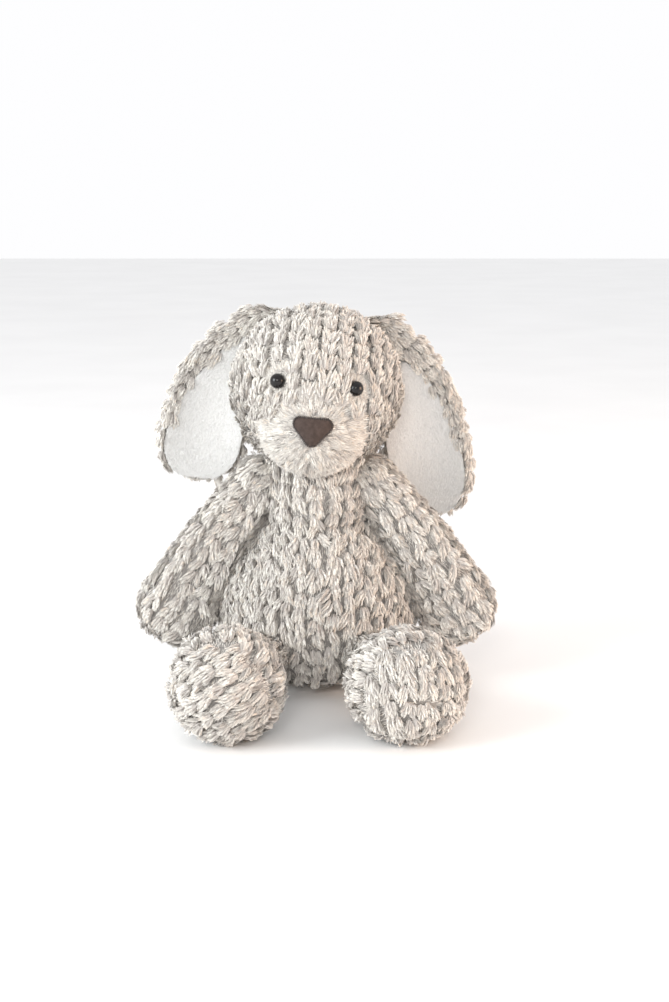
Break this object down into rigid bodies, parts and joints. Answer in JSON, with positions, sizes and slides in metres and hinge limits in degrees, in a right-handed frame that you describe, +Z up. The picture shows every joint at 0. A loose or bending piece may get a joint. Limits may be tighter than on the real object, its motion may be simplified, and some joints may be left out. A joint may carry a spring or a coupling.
{
  "type": "plush dog",
  "caption": "Seated stuffed plush dog with long white-lined drooping ears, chunky knit-look pile cover, suede nose and flexible head, limbs and tail.",
  "frame": {"origin": "on the resting surface, below the middle of the toy's box", "axes": "+Z up, the toy faces -Y, its own left side is +X"},
  "size_m": [0.22, 0.2144, 0.2395],
  "materials": {
    "knit_plush": "chunky knit-look pile of light warm grey and cream tufts",
    "ear_lining": "short smooth white pile",
    "nose_suede": "matte brown-grey suedette with a stitched edge",
    "eye_plastic": "polished black dome",
    "washer_plastic": "moulded natural plastic",
    "fibre_fill": "loose white polyester fibre",
    "pellet_cloth": "thin woven inner bag filled with plastic pellets",
    "label_satin": "blank satin tape"
  },
  "bodies": {
    "torso": {"torso_front_panel": "knit_plush", "torso_back_panel_left": "knit_plush", "torso_back_panel_right": "knit_plush", "torso_stuffing": "fibre_fill", "seat_pellet_pouch": "pellet_cloth", "care_label": "label_satin"},
    "neck": {"neck_wad": "fibre_fill"},
    "head": {"head_left_panel": "knit_plush", "head_right_panel": "knit_plush", "head_centre_gusset": "knit_plush", "chin_panel": "knit_plush", "head_stuffing": "fibre_fill", "nose_patch": "nose_suede", "left_eye": "eye_plastic", "right_eye": "eye_plastic", "left_eye_washer": "washer_plastic", "right_eye_washer": "washer_plastic"},
    "tail": {"tail_cover": "knit_plush", "tail_stuffing": "fibre_fill"},
    "left_ear": {"left_ear_back": "knit_plush", "left_ear_lining": "ear_lining"},
    "left_arm": {"left_arm_front_panel": "knit_plush", "left_arm_back_panel": "knit_plush", "left_arm_stuffing": "fibre_fill"},
    "left_leg": {"left_leg_cover": "knit_plush", "left_foot_panel": "knit_plush", "left_foot_sole": "knit_plush", "left_leg_stuffing": "fibre_fill", "left_foot_pellet_bag": "pellet_cloth"},
    "right_ear": {"right_ear_back": "knit_plush", "right_ear_lining": "ear_lining"},
    "right_arm": {"right_arm_front_panel": "knit_plush", "right_arm_back_panel": "knit_plush", "right_arm_stuffing": "fibre_fill"},
    "right_leg": {"right_leg_cover": "knit_plush", "right_foot_panel": "knit_plush", "right_foot_sole": "knit_plush", "right_leg_stuffing": "fibre_fill", "right_foot_pellet_bag": "pellet_cloth"}
  },
  "joints": [
    {"name": "head_turn", "type": "hinge", "parent": "torso", "child": "neck", "pos_m": [0, 0.03625, 0.1332], "axis": [0, 0, 1], "range_deg": [-12, 12], "stiffness_Nm_per_rad": 0.3},
    {"name": "head_nod", "type": "hinge", "parent": "neck", "child": "head", "pos_m": [0, 0.03625, 0.1332], "axis": [1, 0, 0], "range_deg": [-8, 15], "stiffness_Nm_per_rad": 1.2},
    {"name": "tail_wag", "type": "hinge", "parent": "torso", "child": "tail", "pos_m": [0, 0.08825, 0.024], "axis": [0, 0, 1], "range_deg": [-25, 25], "stiffness_Nm_per_rad": 0.02},
    {"name": "left_ear_lift", "type": "hinge", "parent": "head", "child": "left_ear", "pos_m": [0.03934, 0.04925, 0.21882], "axis": [0, -1, 0], "range_deg": [0, 75]},
    {"name": "left_shoulder", "type": "hinge", "parent": "torso", "child": "left_arm", "pos_m": [0.041, 0.03025, 0.12], "axis": [0, -1, 0], "range_deg": [0, 60]},
    {"name": "left_hip", "type": "hinge", "parent": "torso", "child": "left_leg", "pos_m": [0.034, -0.01375, 0.026], "axis": [-1, 0, 0], "range_deg": [0, 45]},
    {"name": "right_ear_lift", "type": "hinge", "parent": "head", "child": "right_ear", "pos_m": [-0.03232, 0.04925, 0.22584], "axis": [0, 1, 0], "range_deg": [0, 75]},
    {"name": "right_shoulder", "type": "hinge", "parent": "torso", "child": "right_arm", "pos_m": [-0.041, 0.03025, 0.12], "axis": [0, 1, 0], "range_deg": [0, 60]},
    {"name": "right_hip", "type": "hinge", "parent": "torso", "child": "right_leg", "pos_m": [-0.034, -0.01375, 0.026], "axis": [-1, 0, 0], "range_deg": [0, 45]}
  ]
}
